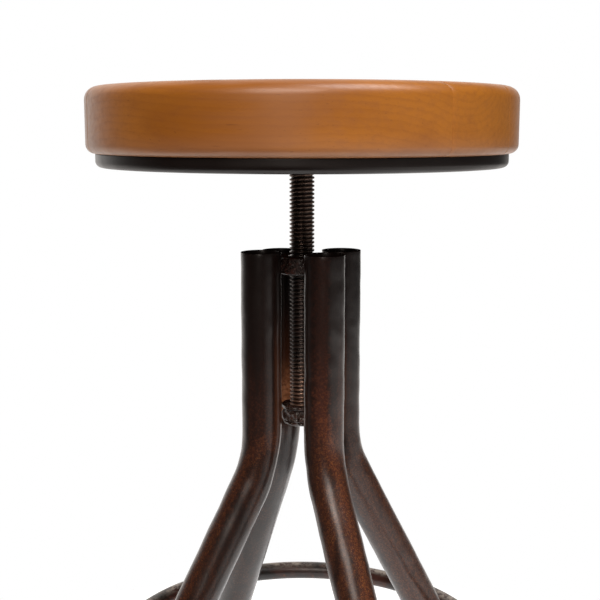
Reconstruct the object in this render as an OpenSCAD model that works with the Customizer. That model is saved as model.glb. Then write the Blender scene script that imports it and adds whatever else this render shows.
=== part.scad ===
// Round wooden bar stool whose seat rises and falls on a screw.
// Four bent tubes stand round a threaded collar and carry a foot ring.
// Millimetres. +Z is up, -Y is the front, and the origin is on the floor under the screw.

/* [Legs] */
// Outside diameter of each leg tube
leg_d = 31.8; // [28:0.2:36]
// Wall thickness of each leg tube
leg_wall = 2; // [1.2:0.1:3]
// Height of the open top end of the tallest leg above the floor
leg_top_z = 539; // [500:1:600]
// Length of the upright stretch at the top of each leg
leg_upright = 145; // [140:1:170]
// Centreline radius of the bend in each leg
leg_bend_r = 97; // [70:1:110]
// Lean of the lower leg away from upright, in degrees
leg_splay = 28.8; // [20:0.1:32]

/* [Feet] */
// Thickness of the rubber pad under each leg
foot_h = 6; // [4:0.5:10]
// Width of the pad's rim beyond the end of the tube
foot_rim = 2.2; // [1:0.1:5]
// Length of the rubber plug inside the tube
foot_plug = 24; // [14:1:40]

/* [Foot ring] */
// Diameter of the round bar of the foot ring
ring_bar_d = 16; // [12:0.5:22]
// Height of the middle of the foot ring above the floor
ring_z = 200; // [140:1:260]
// Radius of the weld where the ring crosses a leg
ring_weld_r = 8.5; // [6:0.1:11]

/* [Collar] */
// Wall of the collar outside the screw
collar_wall = 10.4; // [8.5:0.1:14]
// Height of the collar
collar_h = 13.5; // [10:0.5:24]
// Depth of the collar's top below the ends of the legs
collar_drop = 5; // [2:0.5:10]
// Radius of the weld bead between the collar and each leg
collar_weld_r = 5; // [3:0.1:7]
// Size of the chamfer at both ends of the collar
collar_chamfer = 1; // [0.4:0.1:1.6]

/* [Screw] */
// Diameter over the crests of the thread
screw_d = 20; // [16:0.5:24]
// Rise of the thread in one turn
thread_pitch = 3.2; // [2.5:0.1:4]
// Depth of the thread
thread_depth = 1.4; // [0.8:0.1:1.8]
// Turns that the seat can rise from the height drawn
turns_up = 33.6; // [20:0.1:34]
// Turns that the seat can sink from the height drawn
turns_down = 20.6; // [10:0.1:24]

/* [Stop] */
// Thickness of the loose washer on top of the stop nut
washer_t = 2.5; // [1.5:0.1:4]
// Distance of the washer's rim inside the rim of the collar
washer_inset = 3.4; // [1:0.1:4]
// Height of the stop nut at the lower end of the screw
nut_h = 11; // [8:0.5:16]
// Radius of the weld beads round the screw
bead_r = 2.6; // [1.5:0.1:4]
// Length of bare screw below the lowest bead
screw_tail = 1; // [0.5:0.5:4]

/* [Seat pan] */
// Thickness of the steel of the seat pan
pan_t = 2.5; // [1.5:0.1:4]
// Height of the seat pan over its rim
pan_h = 10.5; // [8:0.5:16]
// Radius of the pan's lower outside corner
pan_corner_r = 5; // [3:0.5:7]
// Height of the weld that joins the pan to the screw
hub_weld_h = 4.8; // [3:0.1:4.8]
// Diameter of the plate that clamps the pan inside the wood
flange_d = 90; // [80:1:120]
// Thickness of that plate
flange_t = 5; // [3:0.5:6]

/* [Wooden seat] */
// Diameter of the wooden seat
seat_d = 335; // [300:1:380]
// Height of the wood above the rim of the pan
seat_t = 50; // [35:1:60]
// Radius of the seat's lower edge
seat_low_r = 7; // [4:0.5:12]
// Radius of the seat's upper edge
seat_top_r = 10; // [5:0.5:16]

/* [Wood screws] */
// Diameter of the wood screws
wood_screw_d = 4.5; // [3.5:0.1:5]
// Diameter of their countersunk heads
wood_screw_head_d = 9; // [8:0.1:9.2]
// Length of the screws that hold only the pan
pan_screw_l = 25; // [18:1:32]
// Length of the screws that pass through the clamping plate
flange_screw_l = 30; // [20:1:36]
// Distance from the rim of the pan to its screws
pan_screw_inset = 30; // [22:1:40]
// Radius of the circle of screws in the clamping plate
flange_screw_r = 32; // [28:0.5:36]

/* [Clearances] */
// Root gap that each weld fills between two tubes
weld_gap = 0.3; // [0.1:0.1:0.5]
// Clearance round the thread in the collar
running_gap = 0.08; // [0.05:0.01:0.1]
// Clearance between fitted pieces that don't turn on each other
fit_gap = 0.3; // [0.1:0.1:0.5]
// Clearance of the pieces that are welded fast to the screw
snug_gap = 0.05; // [0.02:0.01:0.2]
// Space left where a stop comes to rest
end_gap = 0.5; // [0.3:0.1:1]
// Clearance round the plug of each foot and the shank of each wood screw
slip_gap = 0.1; // [0.05:0.05:0.3]

/* [Hidden] */
$fn = 96;
// Distance that each cutter runs past the face that it cuts.
past = 1;
// The small welds are cut by large tubes, so they are drawn with finer rounds.
weld_facets = 240;
leg_r = leg_d / 2;
leg_bore_r = leg_r - leg_wall;
screw_r = screw_d / 2;
root_r = screw_r - thread_depth;
collar_r = screw_r + collar_wall;
ring_bar_r = ring_bar_d / 2;

// The legs stand on the diagonals, just clear of the collar.
leg_circle_r = collar_r + weld_gap + leg_r;
bend_z = leg_top_z - leg_upright;
bend_end_x = leg_circle_r + leg_bend_r * (1 - cos(leg_splay));
bend_end_z = bend_z - leg_bend_r * sin(leg_splay);
lower_leg_l = bend_end_z / cos(leg_splay) + leg_d;
bend_lap = 1.5;
bend_swell = 0.05;
front_right = -45;
rear_right = 45;
rear_left = 135;
front_left = 225;
corners = [front_right, rear_right, rear_left, front_left];

// Length by which the open end of each leg stops short of the tallest leg, in the photograph.
front_right_short = 0.4;
rear_right_short = 2.4;
rear_left_short = 4.1;
front_left_short = 0;

// Distance of the lower leg's axis from the screw at a height z.
function leg_axis_x(z) = bend_end_x + (bend_end_z - z) * tan(leg_splay);

// The foot ring lies against the outside of the legs.
ring_step = ring_bar_r + weld_gap + leg_r;
ring_r = leg_axis_x(ring_z) + ring_step / cos(leg_splay);
ring_weld_x = ring_r - (ring_bar_r + weld_gap / 2) * cos(leg_splay);
ring_weld_z = ring_z - (ring_bar_r + weld_gap / 2) * sin(leg_splay);

// The feet cover the slanting ends of the tubes.
foot_x = leg_axis_x(foot_h);
foot_r = leg_r / cos(leg_splay) + foot_rim;
foot_taper = 1;
plug_lead = 3;

collar_top_z = leg_top_z - collar_drop;
collar_low_z = collar_top_z - collar_h;
collar_bore_r = screw_r + running_gap;

// At the top of its travel the washer meets the collar, and the nut stays under the washer.
washer_top_z = collar_low_z - end_gap - turns_up * thread_pitch;
washer_low_z = washer_top_z - washer_t;
washer_r = collar_r - washer_inset;
nut_top_z = washer_low_z - fit_gap;
nut_low_z = nut_top_z - nut_h;
nut_flats = 1.5 * screw_d;
screw_low_z = nut_low_z - bead_r - screw_tail;

// At the bottom of its travel the pan meets the ends of the legs.
pan_low_z = leg_top_z + end_gap + turns_down * thread_pitch;
pan_floor_z = pan_low_z + pan_t;
pan_top_z = pan_low_z + pan_h;
pan_r = seat_d / 2 - seat_low_r;
flange_top_z = pan_floor_z + flange_t;
screw_top_z = flange_top_z + bead_r;
snug_r = screw_r + snug_gap;
bead_bite = 0.2;

seat_r = seat_d / 2;
seat_top_z = pan_top_z + seat_t;
let_in_r = pan_r - pan_t - fit_gap;
let_in_chamfer_gap = 1;
let_in_chamfer = pan_corner_r - pan_t + let_in_chamfer_gap;
bead_pocket_gap = 1;
flange_pocket_r = flange_d / 2 + fit_gap;
flange_pocket_z = flange_top_z + fit_gap;
bead_pocket_r = snug_r + 2 * bead_r + bead_pocket_gap;
bead_pocket_z = screw_top_z + bead_pocket_gap;

// The seat is glued up from five boards that run from side to side.
board_count = 5;
board_w = seat_d / board_count;
pan_screws_n = 8;
flange_screws_n = 4;
pan_screw_r = pan_r - pan_screw_inset;
drive_slot_w = 0.9;
drive_slot_l = 4.4;
drive_slot_h = 1.4;
point_l = 5;

steel = "#2e2622";
worn_steel = "#4a3527";
weld_steel = "#3a312c";
pan_steel = "#1f1d1e";
screw_steel = "#2a221f";
plated = "#8c8a86";
rubber = "#161616";
honey_wood = "#a5682c";
light_wood = "#b07436";

// Legs
// A rod of radius r along the path of one leg, which leans out along +X and runs below the floor.
// Its top end is a length longer than leg_top_z asks for. The bend is a hair fatter than the
// straight stretches, which run a little way into it.
module leg_rod(r, longer = 0) {
    translate([leg_circle_r, 0, bend_z - bend_lap])
        cylinder(h = leg_upright + bend_lap + longer, r = r);
    translate([leg_circle_r + leg_bend_r, 0, bend_z])
        rotate([90, 0, 0])
            rotate([0, 0, 180])
                rotate_extrude(angle = leg_splay)
                    translate([leg_bend_r, 0])
                        circle(r = r + bend_swell);
    translate([bend_end_x, 0, bend_end_z])
        rotate([0, 180 - leg_splay, 0])
            translate([0, 0, -bend_lap])
                cylinder(h = lower_leg_l + bend_lap, r = r);
}

// Everything below the level z, out to the foot of a leg.
module below(z) {
    reach = foot_x + 2 * foot_r;
    translate([-reach, -reach, z - reach])
        cube([2 * reach, 2 * reach, reach]);
}

// One leg: a bent tube, open at the top and cut level above its foot.
module leg(corner, short) {
    color(steel)
        rotate([0, 0, corner])
            difference() {
                leg_rod(leg_r, -short);
                leg_rod(leg_bore_r, past);
                below(foot_h);
            }
}

// One foot: a rubber pad under the end of the tube, with a plug that is pushed up into it.
module foot(corner) {
    plug_r = leg_bore_r - slip_gap;
    color(rubber)
        rotate([0, 0, corner]) {
            translate([foot_x, 0, 0])
                cylinder(h = foot_h, r1 = foot_r, r2 = foot_r - foot_taper);
            difference() {
                translate([foot_x, 0, foot_h])
                    rotate([0, -leg_splay, 0]) {
                        translate([0, 0, -leg_r])
                            cylinder(h = leg_r + foot_plug - plug_lead, r = plug_r);
                        translate([0, 0, foot_plug - plug_lead])
                            cylinder(h = plug_lead, r1 = plug_r, r2 = plug_r - foot_taper);
                    }
                below(foot_h / 2);
            }
        }
}

// Foot ring
// The ring's round bar as a solid.
module ring_bar() {
    translate([0, 0, ring_z])
        rotate_extrude()
            translate([ring_r, 0])
                circle(r = ring_bar_r);
}

module foot_ring() {
    color(worn_steel)
        ring_bar();
}

// A bead at each crossing, fitted to the ring and the leg.
module foot_ring_welds() {
    $fn = weld_facets;
    color(weld_steel)
        for (corner = corners)
            rotate([0, 0, corner])
                difference() {
                    translate([ring_weld_x, 0, ring_weld_z])
                        sphere(r = ring_weld_r);
                    leg_rod(leg_r);
                    ring_bar();
                }
}

// Collar
// The collar that the screw turns in, with its edges and the mouths of its bore chamfered.
module screw_collar() {
    mouth_r = collar_bore_r + collar_chamfer;
    color(screw_steel)
        translate([0, 0, collar_low_z])
            difference() {
                union() {
                    translate([0, 0, collar_chamfer])
                        cylinder(h = collar_h - 2 * collar_chamfer, r = collar_r);
                    cylinder(h = collar_chamfer, r1 = collar_r - collar_chamfer, r2 = collar_r);
                    translate([0, 0, collar_h - collar_chamfer])
                        cylinder(h = collar_chamfer, r1 = collar_r, r2 = collar_r - collar_chamfer);
                }
                translate([0, 0, -past])
                    cylinder(h = collar_h + 2 * past, r = collar_bore_r);
                cylinder(h = collar_chamfer, r1 = mouth_r, r2 = collar_bore_r);
                translate([0, 0, collar_h - collar_chamfer])
                    cylinder(h = collar_chamfer, r1 = collar_bore_r, r2 = mouth_r);
            }
}

// An upright bead with round ends between the collar and each leg.
module collar_welds() {
    $fn = weld_facets;
    bead_low_z = collar_low_z + collar_chamfer + collar_weld_r;
    bead_l = collar_h - 2 * collar_chamfer - 2 * collar_weld_r;
    color(weld_steel)
        for (corner = corners)
            rotate([0, 0, corner])
                difference() {
                    translate([collar_r + weld_gap / 2, 0, bead_low_z]) {
                        cylinder(h = bead_l, r = collar_weld_r);
                        sphere(r = collar_weld_r);
                        translate([0, 0, bead_l])
                            sphere(r = collar_weld_r);
                    }
                    translate([0, 0, collar_low_z - past])
                        cylinder(h = collar_h + 2 * past, r = collar_r);
                    leg_rod(leg_r);
                }
}

// Screw
// The thread is one right-hand helix. Three points make its outline: the root and both edges
// of the crest. A plain core with a flat face closes each end.
thread_steps = 14;
crest_low = 0.34 * thread_pitch;
crest_high = 0.66 * thread_pitch;
thread_start_z = 0.2 * thread_pitch;
outline_r = [root_r, screw_r, screw_r];
outline_z = [0, crest_low, crest_high];

// Point k of the outline after a number of steps round the screw.
function thread_point(k, step) =
    let (turn = step / thread_steps)
    [
        outline_r[k] * cos(360 * turn),
        outline_r[k] * sin(360 * turn),
        thread_start_z + outline_z[k] + thread_pitch * turn
    ];

// Point on the flat ring at height z that closes the core.
function core_point(step, z) =
    [root_r * cos(360 * step / thread_steps), root_r * sin(360 * step / thread_steps), z];

// Two triangles between neighbouring points of two helices.
function strip(a, a_next, b, b_next) = [[a, a_next, b_next], [a, b_next, b]];

module thread(length) {
    steps = floor((length - 1.4 * thread_pitch) / thread_pitch * thread_steps);
    last = steps;
    wrap = thread_steps;
    root = [for (i = [0 : steps + wrap]) thread_point(0, i)];
    low_edge = [for (i = [0 : steps]) thread_point(1, i)];
    high_edge = [for (i = [0 : steps]) thread_point(2, i)];
    low_ring = [for (i = [0 : wrap - 1]) core_point(i, 0)];
    high_ring = [for (i = [0 : wrap - 1]) core_point(i + steps, length)];
    b = len(root);
    c = b + len(low_edge);
    d = c + len(high_edge);
    e = d + wrap;
    flanks = [
        for (i = [0 : steps - 1])
            each concat(
                strip(i, i + 1, b + i, b + i + 1),
                strip(b + i, b + i + 1, c + i, c + i + 1),
                strip(c + i, c + i + 1, i + wrap, i + wrap + 1)
            )
    ];
    low_core = [for (i = [0 : wrap - 2]) each strip(d + i, d + i + 1, i, i + 1)];
    low_seam = [
        [d + wrap - 1, d, 0],
        [d + wrap - 1, 0, wrap],
        [d + wrap - 1, wrap, wrap - 1]
    ];
    high_core = [
        for (i = [1 : wrap - 1])
            each strip(last + i, last + i + 1, e + i, e + (i + 1) % wrap)
    ];
    high_seam = [
        [last, last + 1, e + 1],
        [last, e + 1, last + wrap],
        [last + wrap, e + 1, e]
    ];
    thread_ends = [
        [0, b, c],
        [0, c, wrap],
        [last, last + wrap, c + last],
        [last, c + last, b + last]
    ];
    flat_ends = [
        [for (i = [wrap - 1 : -1 : 0]) d + i],
        [for (i = [0 : wrap - 1]) e + i]
    ];
    outward = concat(flanks, low_core, low_seam, high_core, high_seam, thread_ends, flat_ends);
    polyhedron(
        points = concat(root, low_edge, high_edge, low_ring, high_ring),
        faces = [for (face = outward) [for (i = [len(face) - 1 : -1 : 0]) face[i]]]
    );
}

module seat_screw() {
    color(screw_steel)
        translate([0, 0, screw_low_z])
            thread(screw_top_z - screw_low_z);
}

// Stop
// The loose washer that meets the collar when the seat is at its highest.
module stop_washer() {
    color(screw_steel)
        translate([0, 0, washer_low_z])
            difference() {
                cylinder(h = washer_t, r = washer_r);
                translate([0, 0, -past])
                    cylinder(h = washer_t + 2 * past, r = screw_r + fit_gap);
            }
}

// A thin hexagon nut with the corners of both faces turned off.
module stop_nut() {
    flat_r = nut_flats / 2;
    color(screw_steel)
        translate([0, 0, nut_low_z])
            difference() {
                intersection() {
                    cylinder(h = nut_h, r = flat_r / cos(30), $fn = 6);
                    union() {
                        cylinder(h = nut_h / 2, r1 = flat_r, r2 = flat_r + nut_h);
                        translate([0, 0, nut_h / 2])
                            cylinder(h = nut_h / 2, r1 = flat_r + nut_h, r2 = flat_r);
                    }
                }
                translate([0, 0, -past])
                    cylinder(h = nut_h + 2 * past, r = snug_r);
            }
}

// Half of a round bead laid against the screw, on the side of the level z that up names.
module bead(z, up) {
    translate([0, 0, z])
        rotate_extrude()
            intersection() {
                translate([screw_r + bead_r - bead_bite, 0])
                    circle(r = bead_r);
                translate([snug_r, up ? 0 : -2 * bead_r])
                    square([3 * bead_r, 2 * bead_r]);
            }
}

module stop_weld() {
    color(weld_steel)
        bead(nut_low_z, false);
}

module flange_weld() {
    color(weld_steel)
        bead(flange_top_z, true);
}

// The hollow fillet that joins the underside of the pan to the screw.
module hub_weld() {
    toe = 0.6;
    color(pan_steel)
        translate([0, 0, pan_low_z - hub_weld_h])
            rotate_extrude()
                difference() {
                    translate([snug_r, 0])
                        square([toe + hub_weld_h, hub_weld_h]);
                    translate([snug_r + toe + hub_weld_h, 0])
                        circle(r = hub_weld_h);
                }
}

// Wood screws
// A countersunk screw that points up from the level z. Grow makes the hole that it fits.
module wood_screw(z, length, grow = 0) {
    shank_r = wood_screw_d / 2 + grow;
    head_r = wood_screw_head_d / 2 + grow;
    cone_h = head_r - shank_r;
    translate([0, 0, z]) {
        cylinder(h = cone_h, r1 = head_r, r2 = shank_r);
        cylinder(h = length - point_l + grow, r = shank_r);
        translate([0, 0, length - point_l + grow])
            cylinder(h = point_l, r1 = shank_r, r2 = shank_r / 4);
    }
}

// The crossed slots in a screw's head.
module drive_slots(z) {
    for (turn = [0, 90])
        rotate([0, 0, turn])
            translate([-drive_slot_l / 2, -drive_slot_w / 2, z - past])
                cube([drive_slot_l, drive_slot_w, drive_slot_h + past]);
}

// Puts its children on a circle, with the first half a step round from +X.
module on_circle(count, r) {
    for (i = [0 : count - 1])
        rotate([0, 0, 360 * (i + 0.5) / count])
            translate([r, 0, 0])
                children();
}

module pan_screws() {
    color(plated)
        on_circle(pan_screws_n, pan_screw_r)
            difference() {
                wood_screw(pan_low_z, pan_screw_l);
                drive_slots(pan_low_z);
            }
}

module flange_screws() {
    color(plated)
        on_circle(flange_screws_n, flange_screw_r)
            difference() {
                wood_screw(pan_low_z, flange_screw_l);
                drive_slots(pan_low_z);
            }
}

module screw_holes() {
    on_circle(pan_screws_n, pan_screw_r)
        wood_screw(pan_low_z, pan_screw_l, slip_gap);
    on_circle(flange_screws_n, flange_screw_r)
        wood_screw(pan_low_z, flange_screw_l, slip_gap);
}

// Seat pan
// A shallow pressed dish with a round lower corner.
module seat_pan() {
    inner_corner_r = pan_corner_r - pan_t;
    color(pan_steel)
        difference() {
            translate([0, 0, pan_low_z])
                rotate_extrude()
                    difference() {
                        rounded_half(pan_r, pan_h, pan_corner_r);
                        translate([0, pan_t])
                            rounded_half(pan_r - pan_t, pan_h, inner_corner_r);
                    }
            translate([0, 0, pan_low_z - past])
                cylinder(h = pan_t + 2 * past, r = screw_r + fit_gap);
            screw_holes();
        }
}

// Half of an outline r wide and h high, with a round lower corner.
module rounded_half(r, h, corner_r) {
    square([r - corner_r, h]);
    translate([0, corner_r])
        square([r, h - corner_r]);
    translate([r - corner_r, corner_r])
        circle(r = corner_r);
}

// The plate inside the wood that the screw is welded to.
module seat_flange() {
    color(steel)
        difference() {
            translate([0, 0, pan_floor_z])
                cylinder(h = flange_t, r = flange_d / 2);
            translate([0, 0, pan_floor_z - past])
                cylinder(h = flange_t + 2 * past, r = snug_r);
            screw_holes();
        }
}

// Wooden seat
// The whole round of wood: a let-in that drops inside the rim of the pan, and the thick seat.
module seat_round() {
    difference() {
        union() {
            translate([0, 0, pan_floor_z + let_in_chamfer])
                cylinder(h = pan_h, r = let_in_r);
            translate([0, 0, pan_floor_z])
                cylinder(h = let_in_chamfer, r1 = let_in_r - let_in_chamfer, r2 = let_in_r);
            translate([0, 0, pan_top_z])
                rotate_extrude()
                    seat_outline();
        }
        translate([0, 0, pan_floor_z - past])
            cylinder(h = flange_pocket_z - pan_floor_z + past, r = flange_pocket_r);
        translate([0, 0, pan_floor_z])
            cylinder(h = bead_pocket_z - pan_floor_z, r = bead_pocket_r);
        screw_holes();
    }
}

// Half of the seat's outline above the rim of the pan.
module seat_outline() {
    square([seat_r - seat_low_r, seat_t]);
    translate([0, seat_low_r])
        square([seat_r, seat_t - seat_low_r - seat_top_r]);
    square([seat_r - seat_top_r, seat_t]);
    translate([seat_r - seat_low_r, seat_low_r])
        circle(r = seat_low_r);
    translate([seat_r - seat_top_r, seat_t - seat_top_r])
        circle(r = seat_top_r);
}

// One board of the round, counted from the front.
module board(index, tint) {
    color(tint)
        intersection() {
            seat_round();
            translate([-seat_r - past, index * board_w - seat_r, pan_floor_z - past])
                cube([seat_d + 2 * past, board_w, seat_top_z - pan_floor_z + 2 * past]);
        }
}

leg(front_left, front_left_short);  // front_left_leg
leg(front_right, front_right_short);  // front_right_leg
leg(rear_left, rear_left_short);  // rear_left_leg
leg(rear_right, rear_right_short);  // rear_right_leg
foot(front_left);  // front_left_foot
foot(front_right);  // front_right_foot
foot(rear_left);  // rear_left_foot
foot(rear_right);  // rear_right_foot
foot_ring();
foot_ring_welds();
screw_collar();
collar_welds();
stop_washer();
seat_screw();
stop_nut();
stop_weld();
hub_weld();
seat_pan();
seat_flange();
flange_weld();
pan_screws();
flange_screws();
board(0, honey_wood);  // front_outer_board
board(1, light_wood);  // front_inner_board
board(2, honey_wood);  // middle_board
board(3, light_wood);  // rear_inner_board
board(4, honey_wood);  // rear_outer_board
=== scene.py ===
"""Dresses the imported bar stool: bent tube legs, screw, steel pan and glued wooden seat."""
import math

import bmesh
import bpy
import numpy as np
from bpy.props import FloatProperty, FloatVectorProperty, IntProperty, PointerProperty
from bpy.types import NodeSocket, Operator, Panel, PropertyGroup
from mathutils import Matrix, Vector


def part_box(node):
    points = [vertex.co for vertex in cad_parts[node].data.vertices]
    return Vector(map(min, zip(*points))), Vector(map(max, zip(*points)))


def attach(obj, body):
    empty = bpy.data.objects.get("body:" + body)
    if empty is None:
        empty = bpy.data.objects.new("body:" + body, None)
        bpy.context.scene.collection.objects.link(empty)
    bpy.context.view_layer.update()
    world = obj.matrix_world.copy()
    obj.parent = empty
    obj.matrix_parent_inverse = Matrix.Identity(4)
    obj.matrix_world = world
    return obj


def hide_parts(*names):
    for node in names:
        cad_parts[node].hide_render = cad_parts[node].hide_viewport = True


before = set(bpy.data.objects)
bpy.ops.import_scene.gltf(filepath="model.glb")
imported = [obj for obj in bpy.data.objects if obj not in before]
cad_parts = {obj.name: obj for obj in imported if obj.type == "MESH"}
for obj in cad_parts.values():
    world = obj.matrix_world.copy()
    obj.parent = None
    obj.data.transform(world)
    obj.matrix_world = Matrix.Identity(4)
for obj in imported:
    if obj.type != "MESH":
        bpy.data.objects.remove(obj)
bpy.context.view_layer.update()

bl_info = {
    "name": "Screw Bar Stool",
    "version": (1, 0, 0),
    "blender": (4, 5, 0),
    "location": "View3D > Sidebar > Bar Stool",
    "description": "Builds the surfaces, finishes and studio of a wooden bar stool on a screw",
    "category": "Object",
}

MM = 0.001
TURN = 2 * math.pi
TUBE_RADIUS = 0.5 * 31.8 * MM

# Corners that the legs stand in, as the angle of each leg round the screw in degrees.
CORNERS = {"front_right": -45, "rear_right": 45, "rear_left": 135, "front_left": 225}
# Share of the brown in the lacquer of each leg.
AGES = {"front_right": 0.9, "rear_right": 0.5, "rear_left": 0.35, "front_left": 0.45}
# Band down each leg that is browner still: its middle on the upright tube and below the bend, as distances
# to the left of the leg's own plane seen from the screw, and its half width. A middle of 30 mm lies off the
# tube.
BANDS = {
    "front_right": (-0.009, 0.002, 0.005), "rear_right": (0.03, -0.012, 0.005),
    "rear_left": (0.03, 0.03, 0.003), "front_left": (0.03, 0.003, 0.006)}
BOARDS = ("front_outer", "front_inner", "middle", "rear_inner", "rear_outer")

# Heights over the floor at which a change in a finish starts and is complete.
# The browning ramp also paints the seat's shade: the legs are darker near the top, where the seat shades
# them.
BROWNING_AND_SEAT_SHADE, BEND, CUT_ENDS = (0.49, 0.39), (0.42, 0.36), (0.52, 0.53)
RUST_TOP, RUST_END = (0.50, 0.44), (0.37, 0.41)
# Heights of the light rust beside the stop, painted brighter to stand for the lamp light that falls between
# the front legs.
RUST_AND_PAINTED_LIGHT_TOP, RUST_AND_PAINTED_LIGHT_END = (0.45, 0.415), (0.392, 0.402)
# Heights of the painted light on the thread: lighter below and above the stretch that the seat shades.
PAINTED_LIGHT_LOW_THREAD, PAINTED_LIGHT_HIGH_THREAD = (0.46, 0.42), (0.535, 0.55)
# Heights of the painted sheen low on the seat's side: a greyer tone for the reflection in its rounded lower
# edge.
PAINTED_SHEEN_SIDE = (0.634, 0.617)
# Distances from the middle of the screw at which a change in a finish starts and is complete.
LEG_INSIDES, SCREW_SIDES, THREAD_ROOTS = (0.038, 0.034), (0.027, 0.023), (0.0096, 0.0088)

# Brightness of the surroundings at angles round the stool in degrees, first for what lies well below the
# horizon, then for the rest. The two ends of each come first.
LOWER_WALL = (
    (-180, 1.0), (180, 1.0), (-112, 1.0), (-100, 0.9), (-88, 0.4), (-75, 0.12), (-60, 0.03), (30, 0.03),
    (42, 0.3), (52, 0.65), (65, 0.9), (110, 0.95), (125, 0.7), (150, 0.8))
UPPER_WALL = (
    (-180, 1.0), (180, 1.0), (-125, 1.0), (-112, 0.7), (-98, 0.25), (-85, 0.06), (-60, 0.02), (40, 0.02),
    (60, 0.05), (95, 0.08), (115, 0.04), (155, 0.04), (172, 0.6))
# Where the lower brightness gives way to the upper one, as sines of the angle over the horizon.
WALL_CHANGE = (-0.23, -0.15)
WALL_TINT = (1.0, 0.95, 0.91)


def low(node):
    """Lowest corner of a node of the frame."""
    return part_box(node)[0]


def high(node):
    """Highest corner of a node of the frame."""
    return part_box(node)[1]


def width(node):
    """Size of a node of the frame from side to side."""
    return high(node)[0] - low(node)[0]


def levels(node):
    """Heights of the lowest and the highest point of a node of the frame."""
    return low(node)[2], high(node)[2]


# Sizes and colours

def length(name, description, millimetres):
    """A size that the sidebar shows as a length."""
    return FloatProperty(name=name, description=description, default=millimetres * MM, unit="LENGTH")


def slant(name, description, degrees):
    """An angle that the sidebar shows in degrees."""
    return FloatProperty(
        name=name, description=description, default=math.radians(degrees), subtype="ANGLE")


def tone(name, description, *display):
    """A colour, given as a display shows it from 0 to 255 and held as its linear value."""
    display = np.array(display) / 255
    linear = np.where(display <= 0.04045, display / 12.92, ((display + 0.055) / 1.055) ** 2.4)
    return FloatVectorProperty(
        name=name, description=description, subtype="COLOR", default=tuple(map(float, linear)))


class LegSizes(PropertyGroup):
    wall: length("Wall", "Wall thickness of the tube", 2)
    bend_radius: length("Bend radius", "Centreline radius of the bend", 97)
    upright: length("Upright", "Length of the straight top of a leg", 145)
    splay: slant("Splay", "Lean of the lower leg", 28.8)
    circle: length("Circle", "Distance of the upright tubes from the screw", 36.6)
    waves: length("Waves", "Height of the slow waves in the drawn tube", 0.16)
    flattening: FloatProperty(
        name="Flattening", description="Share by which the back of the bend is flattened", default=0.12)


class RingSizes(PropertyGroup):
    bar: length("Bar", "Diameter of the round bar", 16)
    bead: length("Bead", "Radius of the weld at each leg", 8.7)


class ScrewSizes(PropertyGroup):
    pitch: length("Pitch", "Rise of the thread in one turn", 3.2)
    depth: length("Depth", "Depth of the thread", 1.45)
    diameter: length("Diameter", "Diameter over the crests", 20)
    bead: length("Bead", "Radius of the weld under the stop nut", 2.6)


class SeatSizes(PropertyGroup):
    low_edge: length("Lower edge", "Radius of the wood's lower edge", 7)
    top_edge: length("Upper edge", "Radius of the wood's upper edge", 10)
    pan_wall: length("Pan wall", "Thickness of the pan", 2.5)
    pan_corner: length("Pan corner", "Radius of the pan's lower corner", 5)
    seam: length("Seam", "Width of the eased edge along a glue line", 0.25)


class FastenerSizes(PropertyGroup):
    head: length("Head", "Diameter of the head of a wood screw", 9)
    shank: length("Shank", "Diameter of a wood screw", 4.5)
    tip: length("Tip", "Length of the point of a wood screw", 5)
    crown: length("Crown", "Height of the slight dome of a head", 0.2)
    cross: length("Cross", "Width of the arms of the cross in a head", 1.3)
    cross_depth: length("Cross depth", "Depth of the cross in a head", 1.2)
    pan_count: IntProperty(
        name="Pan screws", description="Number of screws round the pan's rim", default=8)
    plate_count: IntProperty(
        name="Plate screws", description="Number of screws through the clamping plate", default=4)


class StoolColours(PropertyGroup):
    lacquer: tone("Lacquer", "Darkest tone of the legs", 22, 15, 13)
    bronze: tone("Bronze", "Brown that shows through the lacquer", 70, 38, 30)
    rust: tone("Rust", "Warm flecks in the lacquer", 118, 66, 38)
    dust: tone("Dust", "Golden grit in the lacquer", 166, 108, 56)
    # Light rust, painted bright as painted light where the key lamp shines between the front legs.
    rust_and_painted_light: tone("Golden", "Light rust beside the stop, painted brighter for the lamp light between the front legs", 205, 140, 100)
    # Lighter steel, used as painted light on the thread and for its turning marks.
    thread: tone("Thread", "Oiled steel of the screw", 62, 52, 47)
    rubbed: tone("Lighter thread", "Lighter steel: painted light over the legs and near the stop, and the turning marks", 142, 114, 98)
    pan: tone("Pan", "Black paint of the pan", 21, 14, 12)
    bare: tone("Bare steel", "Steel where the finish is rubbed off", 150, 140, 130)
    zinc: tone("Zinc", "Plating of the wood screws", 178, 176, 170)
    rubber: tone("Rubber", "Rubber of the feet", 32, 31, 31)
    honey: tone("Honey", "Light tone of the stained wood", 174, 107, 32)
    amber: tone("Amber", "Dark tone of the stained wood", 136, 76, 22)
    # Painted sheen: a greyer tone low on the wood's side that stands for the reflection in its rounded
    # lower edge.
    painted_sheen: tone("Sheen painted on wood", "Painted sheen: greyer wood low on the side, for the reflection in its rounded lower edge", 158, 118, 96)


class StudioSettings(PropertyGroup):
    distance: length("Distance", "Level distance of the camera from the screw", 850)
    azimuth: slant("Azimuth", "Angle of the camera round the stool from the front", 16.57)
    aim: slant("Aim", "Turn of the camera to the left of the screw", 0.104)
    height: length("Height", "Height of the camera over the floor", 635.5)
    pitch: slant("Pitch", "Downward tilt of the camera", 9.19)
    lens: FloatProperty(
        name="Lens", description="Focal length in millimetres on a 36 mm sensor", default=64.03)
    floor: FloatVectorProperty(
        name="Floor", description="Colour of the floor", subtype="COLOR", default=(0.8, 0.8, 0.8))
    floor_glow: FloatProperty(
        name="Floor glow", description="Light that the floor gives off, as over a lit table", default=0.6)
    floor_radius: length("Floor radius", "Radius of the floor", 600)


# Shapes

def circle(steps):
    """Angles of equal steps once round."""
    return np.linspace(0, TURN, steps, endpoint=False)


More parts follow.
